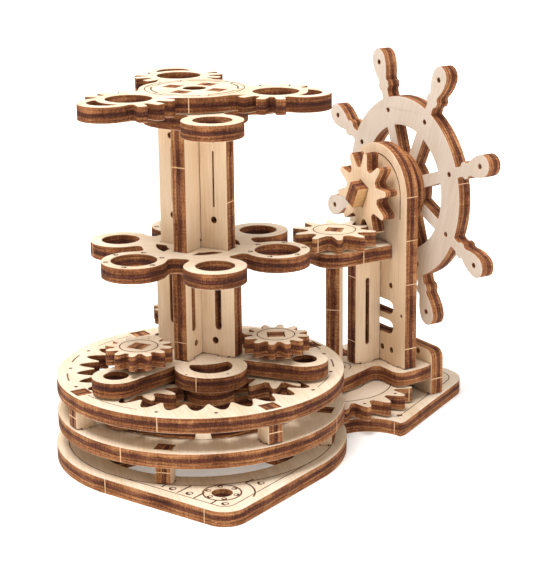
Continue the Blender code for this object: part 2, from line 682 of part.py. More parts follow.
def make_planet(number, turn, carousel):
    """A planet gear on its square axle, with the small gear that shows above the carrier."""
    x, y = polar(PLANET_CIRCLE, turn)
    body = pivot(f"planet_{number}_pivot", carousel, (x, y, 0.0), (0.0, 0.0, turn))
    rod = rectangle((0, 0), SQUARE_ROD_HALF, SQUARE_ROD_HALF, PLANET_ROD_TURN)
    bore = rectangle((0, 0), SQUARE_ROD_HALF + GAP, SQUARE_ROD_HALF + GAP, PLANET_ROD_TURN)
    low = LOWER_CARRIER_Z + GAP
    level(f"planet_axle_{number}", low, rod, [], EDGE, body, UPPER_GEAR_Z + SHEET - low)
    notch_offset = (RING_NOTCH_HEADING - CAROUSEL_HEADING) * RING_TEETH / PLANET_TEETH
    outline = toothed(PLANET_TEETH, PLANET_TOOTH, notch_offset)
    level(f"planet_gear_{number}", RING_Z, outline, [bore], PALE, body)
    collar = circle((0, 0), COLLAR_R, 20)
    level(f"planet_collar_{number}", COLLAR_Z, collar, [bore], EDGE, body, COLLAR_THICKNESS)
    outline = toothed(UPPER_GEAR_TEETH, UPPER_GEAR_TOOTH, UPPER_GEAR_OFFSET)
    level(f"upper_gear_{number}", UPPER_GEAR_Z, outline, [bore], PALE, body)


# ------------------------------------------------------ drive shaft and wheel


def make_drive_shaft():
    x, y = in_tower(SHAFT_OUT, TOWER_SIDE)
    shaft = pivot("drive_shaft_pivot", None, (x, y, 0.0))
    rest = TOWER_HEADING + SHAFT_TURN
    rod = rectangle((0, 0), SQUARE_ROD_HALF, SQUARE_ROD_HALF, rest)
    bore = rectangle((0, 0), SQUARE_ROD_HALF + GAP, SQUARE_ROD_HALF + GAP, rest)
    low = GEAR_TRAIN_Z - GAP
    level("drive_shaft", low, rod, [], EDGE, shaft, CROWN_Z + SHEET - low)
    outline = toothed(DRIVE_TEETH, DRIVE_TOOTH, DRIVE_TOOTH_HEADING)
    level("drive_gear", GEAR_TRAIN_Z, outline, [bore], PALE, shaft)
    outline = toothed(CROWN_TEETH, RIGHT_ANGLE_TOOTH, TOWER_HEADING - CROWN_TOOTH_OFFSET)
    level("crown_gear", CROWN_Z, outline, [bore], PALE, shaft)


def wheel_windows():
    """The openings between the spokes."""
    windows = []
    for i in range(HANDLES):
        start, end = 360 * i / HANDLES, 360 * (i + 1) / HANDLES
        outer = degrees(SPOKE_HALF / RIM_INNER)
        inner = degrees(SPOKE_HALF / WHEEL_HUB)
        loop = arc((0, 0), RIM_INNER, start + outer, end - outer, 6)
        loop += arc((0, 0), WHEEL_HUB, end - inner, start + inner, 2)
        windows.append(loop)
    return windows


def handle_side():
    """One side of a handle from the rim to its tip, as (distance, half width)."""
    neck = [(26.4, 1.35), (27.3, 1.45), (28.0, 2.25), (29.3, 2.35), (29.9, 1.75), (30.7, 1.8)]
    grip = [(32.3, 2.45), (34.4, 2.95)]
    tip = [(35.9 + 3.2 * sin(radians(a)), 3.0 * cos(radians(a))) for a in (10, 35, 60, 80)]
    return neck + grip + tip


def wheel_outline():
    points = []
    for i in range(HANDLES):
        centre = 360 * i / HANDLES
        side = handle_side()
        root = degrees(1.5 / RIM_OUTER)
        points += arc((0, 0), RIM_OUTER, centre - 45 + root, centre - root, 7)
        points += [turned((x, -half), centre) for x, half in side]
        points += [turned((x, half), centre) for x, half in reversed(side)]
    return points


def make_wheel():
    """The wheel turns about a level axis; here x is the tower's right and y is up."""
    centre = in_tower(0.0, TOWER_SIDE)
    wheel = pivot("wheel_pivot", None, (*centre, WHEEL_Z), (90.0, 0.0, TOWER_HEADING - 90))
    strip = WHEEL_HEADING + 45
    rod = rectangle((0, 0), *STRIP_HALF, strip)
    bore = rectangle((0, 0), STRIP_HALF[0] + GAP, STRIP_HALF[1] + GAP, strip)
    near, far = PINION_OUT - STRIP_ENDS[0], WHEEL_OUT + SHEET + STRIP_ENDS[1]
    level("wheel_axle", -far, rod, [], EDGE, wheel, far - near)
    outline = toothed(CROWN_TEETH, RIGHT_ANGLE_TOOTH, 270 - CROWN_TOOTH_OFFSET)
    level("wheel_pinion", -PINION_OUT - SHEET, outline, [bore], PALE, wheel)
    disc = circle((0, 0), HUB_DISC_R, 40)
    level("wheel_hub_disc", -HUB_DISC_OUT - SHEET, disc, [bore], PALE, wheel)
    holes = [bore] + [turn_all(window, WHEEL_HEADING) for window in wheel_windows()]
    for i in range(HANDLES):
        heading = WHEEL_HEADING + 360 * i / HANDLES
        holes += [circle(polar(radius, heading), WHEEL_PIN_R, 6) for radius in WHEEL_PINS]
    outline = turn_all(wheel_outline(), WHEEL_HEADING)
    level("steering_wheel", -WHEEL_OUT - SHEET, outline, holes, PALE, wheel)


for leftover in list(bpy.data.objects):
    bpy.data.objects.remove(leftover, do_unlink=True)

PARTS = new_collection("wheel_driven_pen_carousel")
PALE = plywood("pale_veneer", (0.80, 0.62, 0.42), 0.62)
EDGE = plywood("scorched_edge", (0.30, 0.15, 0.06), 0.70)
DARK = plywood("shaded_veneer", (0.62, 0.44, 0.27), 0.65)

make_base()
make_lower_spacers()
make_middle()
make_upper_spacers()
make_ring()
make_arch()
make_web()
make_shelf()
make_foot()

CAROUSEL = pivot("carousel_pivot", None, (0.0, 0.0, 0.0), (0.0, 0.0, CAROUSEL_HEADING))
make_carousel_drive(CAROUSEL)
make_upper_carrier(CAROUSEL)
make_column(CAROUSEL)
make_rosette(CAROUSEL)
make_lower_top(CAROUSEL)
make_top(CAROUSEL)
for number, turn in ((1, -60), (2, 60), (3, 180)):
    make_planet(number, turn, CAROUSEL)

make_drive_shaft()
make_wheel()
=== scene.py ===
"""Looks for the wheel-driven pen carousel: plywood, engraving, cut marks, studio.

Lengths are in millimetres and angles in degrees in the tables and helpers, in the
frame's own axes; MM turns them into metres where an object is made.
"""

import json
from math import atan2, cos, degrees, radians, sin

import bmesh
import bpy
from mathutils import Matrix, Vector
from mathutils.bvhtree import BVHTree


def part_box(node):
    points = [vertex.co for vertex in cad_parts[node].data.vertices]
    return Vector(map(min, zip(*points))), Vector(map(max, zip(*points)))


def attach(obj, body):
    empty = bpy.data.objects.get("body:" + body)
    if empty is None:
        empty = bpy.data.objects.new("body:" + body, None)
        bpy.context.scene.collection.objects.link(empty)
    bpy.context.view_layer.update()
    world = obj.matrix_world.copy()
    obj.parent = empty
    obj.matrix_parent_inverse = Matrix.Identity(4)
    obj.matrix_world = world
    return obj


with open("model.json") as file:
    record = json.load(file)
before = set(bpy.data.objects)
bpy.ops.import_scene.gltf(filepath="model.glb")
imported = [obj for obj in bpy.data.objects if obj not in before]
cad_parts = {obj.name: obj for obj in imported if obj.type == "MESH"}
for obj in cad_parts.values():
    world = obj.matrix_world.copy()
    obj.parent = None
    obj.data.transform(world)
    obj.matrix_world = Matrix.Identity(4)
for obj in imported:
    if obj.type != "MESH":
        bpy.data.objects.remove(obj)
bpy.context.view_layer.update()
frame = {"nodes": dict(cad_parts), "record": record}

MM = 0.001
UP = Vector((0.0, 0.0, 1.0))
CAROUSEL_HEADING = 274.7  # direction of the front holder ring
TOWER_HEADING = 23.0  # direction from the column to the tower
SHAFT_ACROSS = TOWER_HEADING - 47.0  # direction across the drive shaft's sheet
WHEEL_HANDLE = 19.2  # first handle of the wheel, up from the tower's right
BLADES = {"column_blade_a": CAROUSEL_HEADING + 48.0, "column_blade_b": CAROUSEL_HEADING - 42.0}
CHAMFER = 0.13  # softening of every cut corner
SHARP_OVER = 32.0  # corners sharper than this are softened
SMOOTH_UNDER = 26.0  # walls that meet at less than this are shaded as one
WELD = 0.004  # corners closer than this are one corner
ENGRAVED = 0.03  # how far an engraved line's surface stands off the veneer
SUNK = 0.1  # how far an engraved line reaches into the veneer
STUB_PROUD = 0.035  # how far a cut mark stands off its wall
STUB_ROOT = 0.3  # how far it reaches into the piece
STUB_SHORT = 0.12  # how far its ends stay from the sheet's two sides
TOWER_SIDE = -3.0  # how far the tower stands to the right of its heading
BASE_HOLE = (0.0, -40.2)  # hole in the base's pointed corner
NOSE_OUT = 77.4  # engraved rosette on the base's nose, out from the column
EDGE_LINE_INSET = 3.1  # from the base's edge to the line along it
BOLT_STROKE = 200.0  # direction of the heavier stroke on a plank's bolt


# ------------------------------------------------------------- directions


def heading_vector(heading):
    return Vector((cos(radians(heading)), sin(radians(heading)), 0.0))


def wheel_vector(angle):
    """A direction in the wheel's plane, measured up from the tower's right."""
    right = heading_vector(TOWER_HEADING - 90)
    return right * cos(radians(angle)) + UP * sin(radians(angle))


def span(node, direction):
    """Lowest and highest reach of a node along a direction, in millimetres."""
    reaches = [vertex.co.dot(direction) for vertex in frame["nodes"][node].data.vertices]
    return min(reaches) / MM, max(reaches) / MM


def middle(node):
    low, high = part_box(node)
    return (low + high) / 2 / MM


def heading_to(node):
    """Direction from the column's axis to a piece."""
    centre = middle(node)
    return degrees(atan2(centre.y, centre.x))


BODY_OF = {node: body for body, nodes in frame["record"]["behaviour"]["bodies"].items() for node in nodes}


# ------------------------------------------------------------- node graphs


def srgb(red, green, blue):
    """A linear colour from its 8-bit screen values."""
    channels = [value / 255 for value in (red, green, blue)]
    linear = [c / 12.92 if c <= 0.04045 else ((c + 0.055) / 1.055) ** 2.4 for c in channels]
    return (*linear, 1.0)


class Graph:
    """A material's node tree, written as formulas."""

    def __init__(self, name):
        self.material = bpy.data.materials.new(name)
        self.material.use_nodes = True
        self.tree = self.material.node_tree
        self.shader = self.tree.nodes["Principled BSDF"]

    def node(self, kind, **settings):
        made = self.tree.nodes.new(kind)
        for key, value in settings.items():
            setattr(made, key, value)
        return made

    def feed(self, socket, value):
        if isinstance(value, bpy.types.NodeSocket):
            self.tree.links.new(value, socket)
        else:
            socket.default_value = value

    def math(self, operation, *values):
        made = self.node("ShaderNodeMath", operation=operation)
        for socket, value in zip(made.inputs, values):
            self.feed(socket, value)
        return made.outputs[0]

    def position(self):
        """The point in millimetres, in the piece's own axes."""
        made = self.node("ShaderNodeVectorMath", operation="SCALE")
        self.feed(made.inputs[0], self.node("ShaderNodeTexCoord").outputs["Object"])
        made.inputs["Scale"].default_value = 1 / MM
        return made.outputs[0]

    def scaled(self, value, factor):
        return self.math("MULTIPLY", value, factor)

    def centred(self, value):
        """A noise moved so that its middle is at zero."""
        return self.math("SUBTRACT", value, 0.5)

    def along(self, point, direction):
        made = self.node("ShaderNodeVectorMath", operation="DOT_PRODUCT")
        self.feed(made.inputs[0], point)
        made.inputs[1].default_value = direction
        return made.outputs["Value"]

    def combine(self, x, y, z):
        made = self.node("ShaderNodeCombineXYZ")
        for socket, value in zip(made.inputs, (x, y, z)):
            self.feed(socket, value)
        return made.outputs[0]

    def noise(self, x, y, z, detail=2.0, roughness=0.5):
        made = self.node("ShaderNodeTexNoise")
        self.feed(made.inputs["Vector"], self.combine(x, y, z))
        made.inputs["Scale"].default_value = 1.0
        made.inputs["Detail"].default_value = detail
        made.inputs["Roughness"].default_value = roughness
        return made.outputs[0]

    def noise_in_space(self, rates):
        """Noise that follows the point, with its own rate along each axis."""
        point = self.position()
        axes = ((1, 0, 0), (0, 1, 0), (0, 0, 1))
        x, y, z = (self.scaled(self.along(point, axis), rate) for axis, rate in zip(axes, rates))
        return self.noise(x, y, z, 3.0)

    def smooth(self, value, low, high, bottom=0.0, top=1.0):
        """Eases from bottom to top as the value goes from low to high."""
        made = self.node("ShaderNodeMapRange", interpolation_type="SMOOTHSTEP")
        for socket, number in zip(made.inputs, (value, low, high, bottom, top)):
            self.feed(socket, number)
        return made.outputs[0]

    def ramp(self, factor, stops):
        made = self.node("ShaderNodeValToRGB")
        elements = made.color_ramp.elements
        while len(elements) < len(stops):
            elements.new(0.5)
        for element, (place, colour) in zip(elements, stops):
            element.position = place
            element.color = colour
        self.feed(made.inputs[0], factor)
        return made.outputs[0]

    def mix(self, factor, first, second):
        made = self.node("ShaderNodeMix", data_type="RGBA", blend_type="MIX")
        self.feed(made.inputs[0], factor)
        self.feed(made.inputs[6], first)
        self.feed(made.inputs[7], second)
        return made.outputs[2]

    def bump(self, height, strength, distance):
        made = self.node("ShaderNodeBump")
        made.inputs["Strength"].default_value = strength
        made.inputs["Distance"].default_value = distance
        self.feed(made.inputs["Height"], height)
        self.feed(self.shader.inputs["Normal"], made.outputs[0])


# --------------------------------------------------------------- materials

# One veneer in copies per facing, as painted light: level pieces, upright pieces and the wheel get the
# tones that the light gives them, the wheel paler and pinker as painted reflection.
LEVEL_VENEER_PAINTED_LIGHT = (srgb(205, 180, 147), srgb(226, 209, 189))
UPRIGHT_VENEER_PAINTED_LIGHT = (srgb(212, 180, 144), srgb(233, 208, 178))
WHEEL_VENEER_PAINTED_LIGHT = (srgb(199, 180, 161), srgb(214, 199, 185))
BAR_VENEER = (srgb(172, 130, 86), srgb(208, 168, 120))
VENEER_FLECK = srgb(188, 150, 110)
SCORCH = srgb(146, 92, 48)
OUTER_PLY = (srgb(92, 50, 28), srgb(148, 94, 58), srgb(190, 138, 92))
INNER_PLY = (srgb(54, 27, 18), srgb(94, 52, 38), srgb(134, 86, 62))
GLUE = srgb(56, 32, 20)
CORE_MIDDLE = 0.10  # the dark core's middle, from -1 at the sheet's low side to 1 at its high side
GLUE_SEAMS = ((-0.16, 0.8), (0.36, 0.55), (-0.56, 0.6))  # middle and strength of each glue line

# How much darker a piece's edges are made than most; below zero they are lighter.
EDGE_DARKER_BY = {
    "middle_rosette": 0.09,
    "top_plate": 0.08,
    "lower_top_plate": 0.06,
    "upper_carrier": 0.05,
    "ring_gear_plate": 0.02,
    "arch_plate": 0.01,
    "foot_plate": -0.06,
}


def veneer(graph, along, across, seed, tones):
    """Pale veneer: soft cloudy tone, fine fibres along the grain and short flecks."""
    cloud = graph.noise(graph.scaled(along, 0.035), graph.scaled(across, 0.11), seed, 2.0)
    fibres = graph.noise(graph.scaled(along, 0.09), graph.scaled(across, 1.6), seed + 7.0, 5.0, 0.62)
    flecks = graph.noise(graph.scaled(along, 0.7), graph.scaled(across, 6.0), seed + 13.0, 1.0)
    tone = graph.math("ADD", graph.scaled(cloud, 0.55), graph.scaled(fibres, 0.55))
    colour = graph.ramp(tone, list(zip((0.36, 0.66), tones)))
    colour = graph.mix(graph.smooth(flecks, 0.66, 0.80, 0.0, 0.42), colour, VENEER_FLECK)
    return colour, fibres


def cut_edge(graph, along, across, depth, ply, seed, darker_by):
    """Laser-cut edge: golden outer plies round a dark cross-grained core, burnt unevenly."""
    def noise(across_rate, depth_rate, offset, detail, roughness):
        """Noise on the edge, with its own rates round the piece and through the sheet."""
        return graph.noise(graph.math("MULTIPLY_ADD", along, across_rate, offset),
                           graph.math("MULTIPLY_ADD", across, across_rate, offset),
                           graph.scaled(depth, depth_rate), detail, roughness)

    streak = noise(1.5, 0.35, seed, 4.0, 0.72)
    layer = noise(0.10, 2.3, seed + 3.0, 3.0, 0.6)
    speck = noise(3.0, 2.6, seed + 5.0, 2.0, 0.7)
    patch = noise(0.13, 0.10, seed + 9.0, 2.0, 0.5)
    # the piece's own offset moves its whole edge tone darker
    mixed = graph.math("MULTIPLY_ADD", streak, 0.30, -darker_by)
    mixed = graph.math("MULTIPLY_ADD", layer, 0.46, mixed)
    mixed = graph.math("MULTIPLY_ADD", speck, 0.42, mixed)
    mixed = graph.math("MULTIPLY_ADD", graph.centred(patch), 0.40, mixed)
    outer = graph.ramp(mixed, list(zip((0.455, 0.60, 0.745), OUTER_PLY)))
    inner = graph.ramp(mixed, list(zip((0.46, 0.60, 0.76), INNER_PLY)))
    drift = graph.scaled(graph.centred(patch), 0.6)
    drift = graph.math("MULTIPLY_ADD", graph.centred(streak), 0.16, drift)
    place = graph.math("ADD", ply, drift)
    core = graph.math("ABSOLUTE", graph.math("SUBTRACT", place, CORE_MIDDLE))
    colour = graph.mix(graph.smooth(core, 0.17, 0.27), inner, outer)
    for seam, strength in GLUE_SEAMS:
        off = graph.math("ABSOLUTE", graph.math("SUBTRACT", place, seam))
        colour = graph.mix(graph.smooth(off, 0.02, 0.09, strength, 0.0), colour, GLUE)
    burnt_rim = graph.smooth(graph.math("ABSOLUTE", ply), 0.84, 0.95, 0.0, 0.5)
    colour = graph.mix(burnt_rim, colour, SCORCH)
    return colour, mixed


def veneer_tones(node, normal):
    """Darkest and palest tone of a piece's veneer: level pieces, upright pieces and the wheel each get
    their own copy of it, as painted light for how the light falls on each.
    """
    if node == "steering_wheel":
        return WHEEL_VENEER_PAINTED_LIGHT
    if node == "wheel_axle":
        return BAR_VENEER
    return LEVEL_VENEER_PAINTED_LIGHT if normal == UP else UPRIGHT_VENEER_PAINTED_LIGHT


def sheet_material(node, normal, grain, seed):
    """Plywood for one piece: veneer on its two broad sides and plies along its cut edges."""
    graph = Graph(f"plywood_{node}")
    low, high = span(node, normal)
    half = (high - low) / 2
    point = graph.position()
    depth = graph.math("SUBTRACT", graph.along(point, normal), (low + high) / 2)
    along = graph.math("ADD", graph.along(point, grain), 17.3 * seed)
    across = graph.along(point, normal.cross(grain))
    ply = graph.math("DIVIDE", depth, half)
    face_colour, fibres = veneer(graph, along, across, seed, veneer_tones(node, normal))
    uneven = graph.math("ADD", ply, 0.10 * sin(2.4 * seed))
    edge_colour, burnt = cut_edge(graph, along, across, depth, uneven, seed, EDGE_DARKER_BY.get(node, 0.0))
    reach = graph.math("ABSOLUTE", ply)
    is_face = graph.smooth(reach, 1 - 1.15 * CHAMFER / half, 1 - 0.15 * CHAMFER / half)
    graph.feed(graph.shader.inputs["Base Color"], graph.mix(is_face, edge_colour, face_colour))
    roughness = graph.math("SUBTRACT", 0.82, graph.scaled(is_face, 0.20))
    roughness = graph.math("ADD", roughness, graph.scaled(graph.centred(fibres), 0.16))
    graph.feed(graph.shader.inputs["Roughness"], roughness)
    graph.shader.inputs["Specular IOR Level"].default_value = 0.16
    graph.bump(graph.mix(is_face, burnt, fibres), 0.35, 0.12 * MM)
    return graph.material


def burnt_line_material():
    """Engraved lines: charred veneer, lighter where the laser ran shallow."""
    graph = Graph("burnt_line")
    char = graph.noise_in_space((1.6, 1.6, 1.6))
    stops = ((0.34, srgb(52, 30, 18)), (0.55, srgb(98, 62, 38)), (0.72, srgb(150, 108, 72)))
    colour = graph.ramp(char, stops)
    graph.feed(graph.shader.inputs["Base Color"], colour)
    graph.shader.inputs["Roughness"].default_value = 0.85
    graph.shader.inputs["Specular IOR Level"].default_value = 0.2
    graph.bump(char, 0.4, 0.05 * MM)
    return graph.material


def bare_tab_material():
    """The unburnt stubs that held each piece in its sheet."""
    graph = Graph("bare_tab")
    fibre = graph.noise_in_space((2.4, 2.4, 3.4))
    colour = graph.ramp(fibre, [(0.38, srgb(196, 148, 102)), (0.62, srgb(236, 204, 162))])
    graph.feed(graph.shader.inputs["Base Color"], colour)
    graph.shader.inputs["Roughness"].default_value = 0.8
    graph.bump(fibre, 0.4, 0.05 * MM)
    return graph.material


# ------------------------------------------------- the sheet of every piece

# Heading of the grain where it is seen on a level piece.
LEVEL_GRAIN = {
    "base_plate": 93.0,
    "middle_plate": 84.0,
    "ring_gear_plate": 97.0,
    "shelf_plate": TOWER_HEADING,
    "drive_gear": 40.0,
    "crown_gear": 110.0,
}


def sheet_directions():
    """For every node, the direction across its sheet and the direction of its grain.

    A piece lies level, with its grain at a heading of its own, unless it is set upright below.
    """
    out = heading_vector(TOWER_HEADING)
    right = heading_vector(TOWER_HEADING - 90)
    sheets = {}
    for i, node in enumerate(sorted(BODY_OF)):
        sheets[node] = (UP, heading_vector(LEVEL_GRAIN.get(node, 31.0 + 47.0 * i)))
    for node in ("arch_plate", "foot_plate", "wheel_pinion", "wheel_hub_disc"):
        sheets[node] = (out, UP)
    sheets["steering_wheel"] = (out, wheel_vector(74.0))
    sheets["web_plate"] = (right, UP)
    for node, heading in BLADES.items():
        sheets[node] = (heading_vector(heading + 90), UP)
    for node in BODY_OF:
        if "_spacer_" in node:
            sheets[node] = (heading_vector(heading_to(node) + 90), UP)
        if node.startswith("planet_axle"):
            sheets[node] = (heading_vector(heading_to(node) + 110), UP)
    sheets["carousel_axle"] = (heading_vector(CAROUSEL_HEADING), UP)
    sheets["drive_shaft"] = (heading_vector(SHAFT_ACROSS), UP)
    sheets["wheel_axle"] = (wheel_vector(WHEEL_HANDLE + 135), out)
    return sheets


def geometry_group(name):
    """An empty geometry node group, with the sockets of its start and its end."""
    group = bpy.data.node_groups.new(name, "GeometryNodeTree")
    for direction in ("INPUT", "OUTPUT"):
        group.interface.new_socket("Geometry", in_out=direction, socket_type="NodeSocketGeometry")
    start = group.nodes.new("NodeGroupInput")
    end = group.nodes.new("NodeGroupOutput")
    return group, start.outputs[0], end.inputs[0]


def welding_group():
    """Geometry nodes that weld a piece's corners and drop the normals that it came with."""
    group, start, end = geometry_group("weld_corners")
    merge = group.nodes.new("GeometryNodeMergeByDistance")
    merge.inputs["Distance"].default_value = WELD * MM
    strip = group.nodes.new("GeometryNodeRemoveAttribute")
    strip.inputs["Name"].default_value = "custom_normal"
    group.links.new(start, merge.inputs["Geometry"])
    group.links.new(merge.outputs["Geometry"], strip.inputs["Geometry"])
    group.links.new(strip.outputs["Geometry"], end)
    return group


def shading_group():
    """Geometry nodes that shade smooth wherever two faces meet at a small angle."""
    group, start, end = geometry_group("soft_shading")
    angle = group.nodes.new("GeometryNodeInputMeshEdgeAngle")
    compare = group.nodes.new("FunctionNodeCompare")
    compare.operation = "LESS_EQUAL"
    compare.inputs[1].default_value = radians(SMOOTH_UNDER)
    faces = group.nodes.new("GeometryNodeSetShadeSmooth")
    edges = group.nodes.new("GeometryNodeSetShadeSmooth")
    edges.domain = "EDGE"
    group.links.new(angle.outputs["Unsigned Angle"], compare.inputs[0])
    group.links.new(start, faces.inputs["Geometry"])
    group.links.new(faces.outputs["Geometry"], edges.inputs["Geometry"])
    group.links.new(compare.outputs["Result"], edges.inputs["Shade Smooth"])
    group.links.new(edges.outputs["Geometry"], end)
    return group


def dress_frame():
    """Plywood on every CAD piece, with its cut corners softened."""
    weld, shading = welding_group(), shading_group()
    for seed, (node, (normal, grain)) in enumerate(sorted(sheet_directions().items()), 1):
        piece = frame["nodes"][node]
        material = sheet_material(node, normal, grain, float(seed))
        for slot in piece.material_slots:
            slot.material = material
        piece.modifiers.new("weld", "NODES").node_group = weld
        bevel = piece.modifiers.new("softened_corners", "BEVEL")
        bevel.width = CHAMFER * MM
        bevel.segments = 1
        bevel.limit_method = "ANGLE"
        bevel.angle_limit = radians(SHARP_OVER)
        bevel.use_clamp_overlap = False
        piece.modifiers.new("shading", "NODES").node_group = shading


# --------------------------------------------------------------- engraving


def add_piece(mesh, name, node, material):
    """The gathered mesh as one object that rides on the node's body."""
    bmesh.ops.recalc_face_normals(mesh, faces=mesh.faces)
    data = bpy.data.meshes.new(name)
    mesh.to_mesh(data)
    mesh.free()
    data.materials.append(material)
    piece = bpy.data.objects.new(name, data)
    bpy.context.scene.collection.objects.link(piece)
    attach(piece, BODY_OF[node])


def polar(radius, heading, centre=(0.0, 0.0)):
    angle = radians(heading)
    return (centre[0] + radius * cos(angle), centre[1] + radius * sin(angle))


def arc(centre, radius, start, end):
    """Points along an arc, about a millimetre apart, and closer on a small one."""
    steps = max(4, int(abs(end - start) * max(radius, 1.5) / 60))
    return [polar(radius, start + (end - start) * i / steps, centre) for i in range(steps + 1)]


def in_tower(out, side):
    """A point by its distance out from the column, and to the right of the tower's heading."""
    along = polar(out, TOWER_HEADING)
    across = polar(side, TOWER_HEADING - 90)
    return (along[0] + across[0], along[1] + across[1])


class Engraver:
    """Gathers burnt lines on one face of a piece and makes them one thin mesh.

    A line's width is given as its half.
    """

    def __init__(self, node, origin, across, upwards):
        self.node = node
        self.across, self.upwards = across.normalized(), upwards.normalized()
        self.outwards = self.across.cross(self.upwards)
        self.origin = Vector(origin)
        self.mesh = bmesh.new()

    def place(self, x, y, height):
        return (self.origin + self.across * x + self.upwards * y + self.outwards * height) * MM

    def line(self, points, half, closed=False):
        count = len(points)
        rows = []
        for i, (x, y) in enumerate(points):
            before = points[i - 1] if closed or i else points[i]
            after = points[(i + 1) % count] if closed or i < count - 1 else points[i]
            direction = Vector((after[0] - before[0], after[1] - before[1])).normalized()
            side = Vector((-direction.y, direction.x)) * half
            corners = [(side, ENGRAVED), (-side, ENGRAVED), (-side, -SUNK), (side, -SUNK)]
            rows.append([self.mesh.verts.new(self.place(x + s.x, y + s.y, h)) for s, h in corners])
        for i in range(count if closed else count - 1):
            first, second = rows[i], rows[(i + 1) % count]
            for k in range(4):
                m = (k + 1) % 4
                self.mesh.faces.new((first[k], first[m], second[m], second[k]))
        if not closed:
            self.mesh.faces.new(rows[0][::-1])
            self.mesh.faces.new(rows[-1])

    def ring(self, centre, radius, half):
        self.line(arc(centre, radius, 0, 360)[:-1], half, closed=True)

    def dot(self, centre, radius):
        """A filled burnt dot."""
        self.line(arc(centre, radius / 2, 0, 360)[:-1], radius / 2, closed=True)

    def bolt(self, centre, radius, heading):
        """A ring with a heavier stroke on one side, as an engraved bolt head."""
        self.ring(centre, radius, 0.05 + 0.12 * radius)
        self.line(arc(centre, radius, heading - 75, heading + 75), 0.1 + 0.27 * radius)

    def finish(self):
        add_piece(self.mesh, f"engraving_{self.node}", self.node, BURNT)


def on_top(node, heading=0.0, centre=(0.0, 0.0)):
    """An engraver on a level piece's upper side, with x along the heading."""
    high = span(node, UP)[1]
    return Engraver(node, (*centre, high), heading_vector(heading), heading_vector(heading + 90))


def outer_loop(node):
    """Anticlockwise outline of a level piece's upper side, in millimetres."""
    mesh = bmesh.new()
    mesh.from_mesh(frame["nodes"][node].data)
    bmesh.ops.remove_doubles(mesh, verts=mesh.verts, dist=WELD * MM)
    high = max(vertex.co.z for vertex in mesh.verts) - 0.01 * MM
    rim = {}
    for edge in mesh.edges:
        tops = [face for face in edge.link_faces if face.normal.z > 0.9 and face.verts[0].co.z > high]
        if len(tops) == 1:
            loop = next(loop for loop in edge.link_loops if loop.face is tops[0])
            rim[loop.vert.index] = loop.link_loop_next.vert.index
    places = {vertex.index: (vertex.co.x / MM, vertex.co.y / MM) for vertex in mesh.verts}
    mesh.free()
    loops = []
    while rim:
        start, index = rim.popitem()
        loop = [places[start]]
        while index != start:
            loop.append(places[index])
            index = rim.pop(index)
        loops.append(loop)
    return max(loops, key=lambda loop: max(x * x + y * y for x, y in loop))


def divided(loop, step):
    """The loop with its long sides cut into steps of about one length."""
    points = []
    for start, end in zip(loop, loop[1:] + loop[:1]):
        first, side = Vector(start), Vector(end) - Vector(start)
        count = max(1, round(side.length / step))
        points += [first + side * (i / count) for i in range(count)]
    return points


def inset(loop, distance):
    """The loop moved inwards by a distance, without the points that a sharp corner crowds."""
    around = divided(loop, 1.0)
    nearest = 0.985 * distance  # an uncrowded point is at least this far from the whole loop
    points = []
    for i, here in enumerate(around):
        before, after = around[i - 1], around[(i + 1) % len(around)]
        first, second = (here - before).normalized(), (after - here).normalized()
        normal = Vector((-(first.y + second.y), first.x + second.x)).normalized()
        reach = distance / max(0.5, normal.dot(Vector((-second.y, second.x))))
        moved = here + normal * reach
        if min((moved - other).length for other in around) > nearest:
            points.append(tuple(moved))
    return points


def engrave_base():
    """An edge line, planks and bolts on the pointed corner, and two rings of bolts."""
    edge_line, plank_line = 0.12, 0.22
    engraver = on_top("base_plate")
    engraver.line(inset(outer_loop("base_plate"), EDGE_LINE_INSET), edge_line, closed=True)
    engraver.line(arc((0, 0), 35.2, 230, 318), edge_line)
    engraver.ring(BASE_HOLE, 4.7, 0.21)
    for i in range(6):
        engraver.bolt(polar(3.65, 30 + 60 * i, BASE_HOLE), 0.58, 30 + 60 * i)
    engraver.line(arc(BASE_HOLE, 8.0, -28, 37) + [polar(11.0, 38, BASE_HOLE)], plank_line)
    planks = (
        ((-14.1, -34.1), (-12.6, -32.4)),
        ((-10.7, -38.2), (-6.7, -34.5)),
        ((-7.2, -42.3), (-4.2, -39.4)),
        ((-3.5, -46.3), (-1.7, -44.3)),
    )
    for plank in planks:
        engraver.line(plank, plank_line)
    for place in ((-11.5, -35.6), (-7.8, -39.2), (-0.1, -46.9), (10.2, -36.1)):
        engraver.bolt(place, 0.75, BOLT_STROKE)
    nose = in_tower(NOSE_OUT, TOWER_SIDE)
    engraver.ring(nose, 2.9, 0.1)
    for i in range(6):
        engraver.bolt(polar(2.0, 20 + 60 * i, nose), 0.35, 20 + 60 * i)
    engraver.finish()


def engrave_middle():
    """A ring below the fixed gear, and an open one round the drive shaft."""
    engraver = on_top("middle_plate")
    engraver.ring((0, 0), 28.3, 0.13)
    shaft = middle("drive_shaft")
    for start, end in ((-60, 55), (120, 240)):
        stroke = arc((shaft.x, shaft.y), 4.6, TOWER_HEADING + start, TOWER_HEADING + end)
        engraver.line(stroke, 0.14)
    engraver.finish()


def engrave_ring():
    """Dots round the fixed gear, and short thick dashes or long thin arcs between them."""
    engraver = on_top("ring_gear_plate")
    pitch, front, radius = 24.7, 269.4, 34.2
    for i in (-5, -4, -3, -1, 0, 2, 3, 4, 5, 6, 7):
        engraver.dot(polar(radius, front + pitch * i), 0.52)
    for i in (-5, -4, 3, 4, 6, 7):
        start = front + pitch * i + 6.8
        engraver.line(arc((0, 0), radius + 0.6, start, start + 9.6), 0.2)
    for start, end in ((207.5, 236.0), (323.0, 337.0), (60.0, 76.0), (118.0, 138.0)):
        engraver.line(arc((0, 0), radius, start, end), 0.09)
    engraver.finish()


